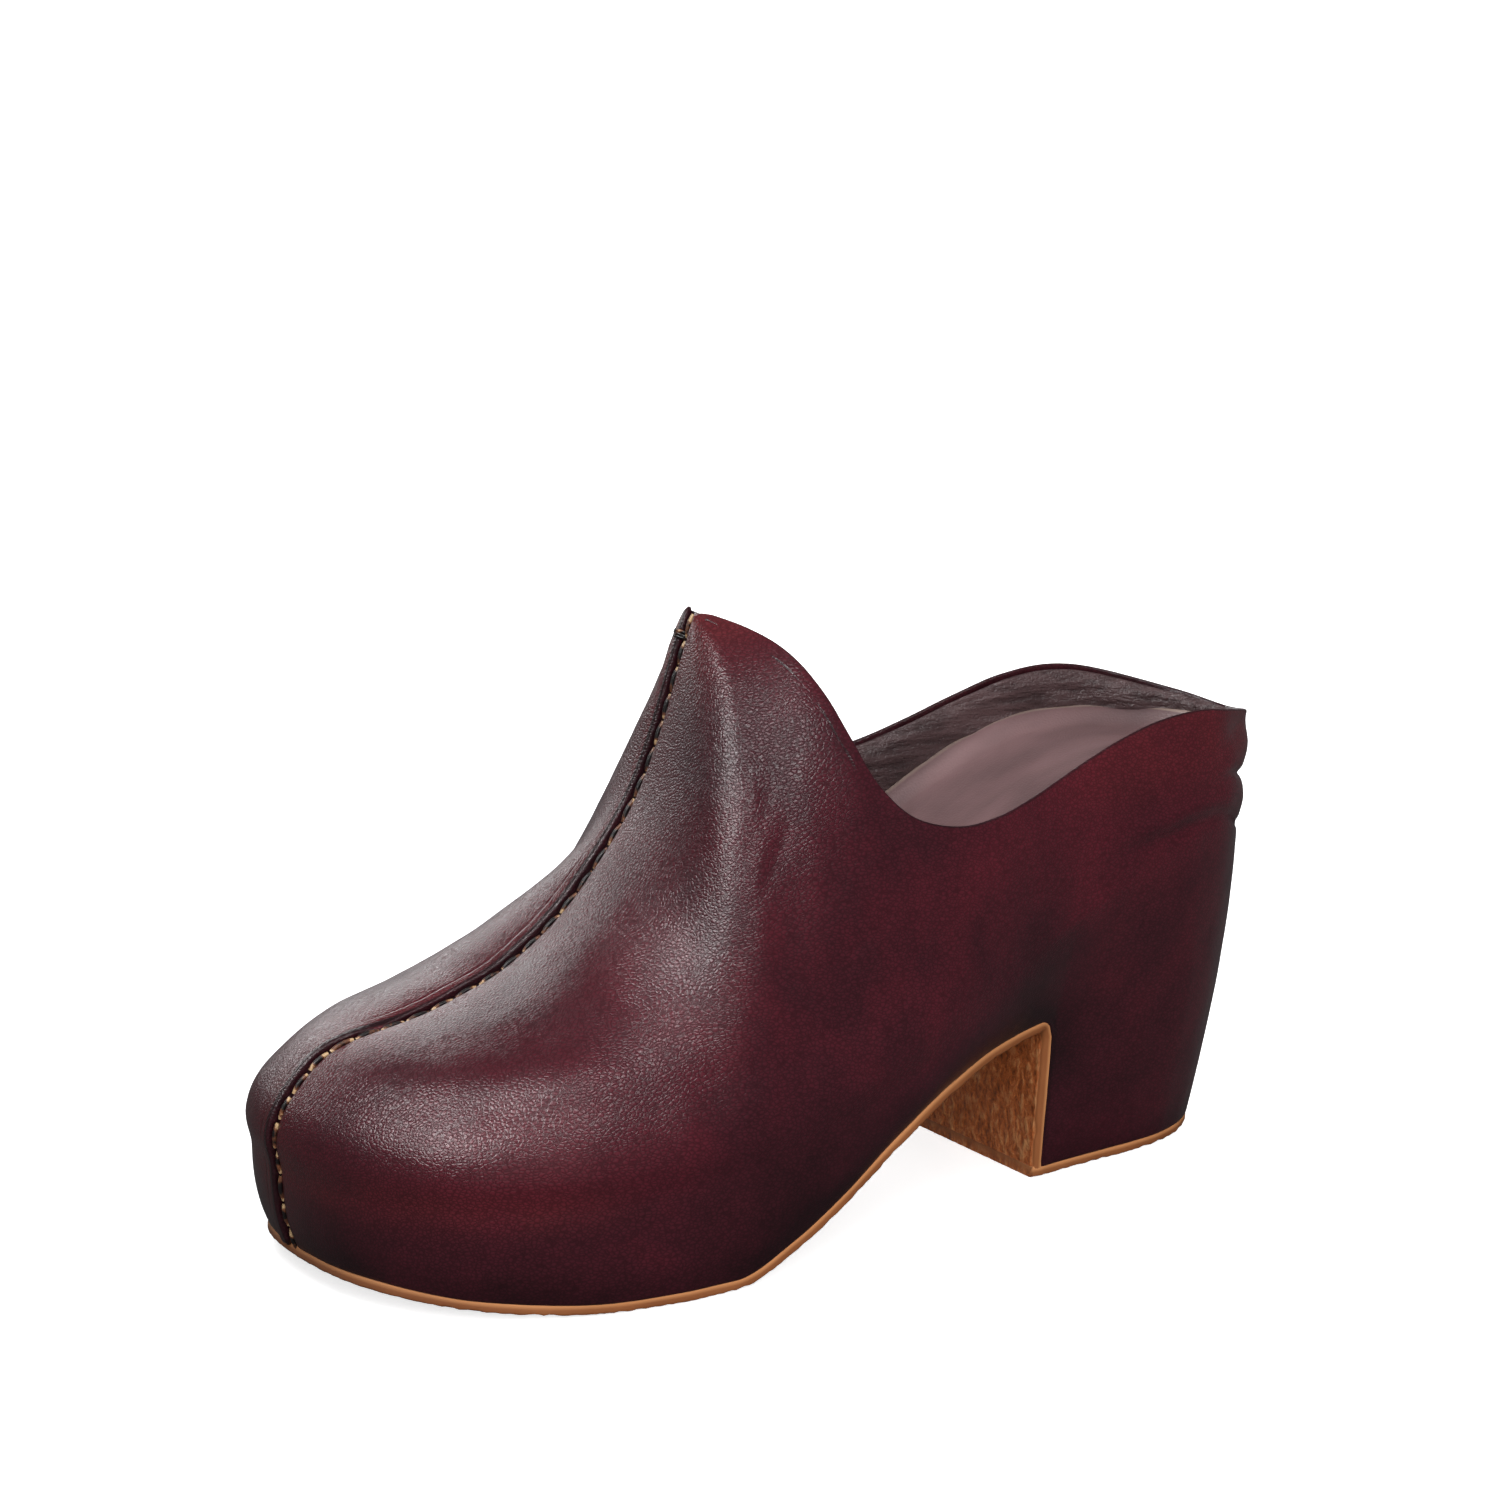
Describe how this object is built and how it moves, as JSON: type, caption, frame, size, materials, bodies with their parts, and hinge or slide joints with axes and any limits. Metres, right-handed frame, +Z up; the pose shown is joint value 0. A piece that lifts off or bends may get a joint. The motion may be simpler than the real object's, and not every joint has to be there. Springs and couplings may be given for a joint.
{
  "type": "clog",
  "caption": "Closed-toe leather-covered wooden clog with a platform, block heel, open back, seamed vamp and crepe outsole.",
  "frame": {"origin": "middle of the clog's box at floor level", "axes": "+Y from toe to heel, +X to the outer side of the foot, +Z up; a left foot's clog"},
  "size_m": [0.1048, 0.2492, 0.1327],
  "materials": {
    "upper": "oxblood pebbled leather, burnished dark along the lower edges, semi-gloss",
    "lining": "taupe lining leather, creased",
    "sock": "smooth taupe leather sock",
    "crepe": "tan crepe rubber with a fibrous cut edge",
    "wood": "carved pale wood, unfinished",
    "foam": "soft foam",
    "board": "pressed fibre board",
    "tape": "woven cotton tape",
    "thread": "waxed thread",
    "steel": "bright steel"
  },
  "bodies": {
    "root": {"upper_lateral": "upper", "upper_medial": "upper", "vamp_lining_lateral": "lining", "vamp_lining_medial": "lining", "heel_lining": "lining", "toe_puff": "board", "heel_counter": "board", "front_seam_tape": "tape", "front_seam_thread": "thread", "throat_bar_tack": "thread", "wood_sole": "wood", "footbed_foam": "foam", "sock_liner": "sock", "forepart_filler": "board", "outsole": "crepe", "heel_top_lift": "crepe", "lasting_tack_01": "steel", "lasting_tack_02": "steel", "lasting_tack_03": "steel", "lasting_tack_04": "steel", "lasting_tack_05": "steel", "lasting_tack_06": "steel", "lasting_tack_07": "steel", "lasting_tack_08": "steel", "lasting_tack_09": "steel", "lasting_tack_10": "steel", "lasting_tack_11": "steel", "lasting_tack_12": "steel"}
  },
  "joints": []
}
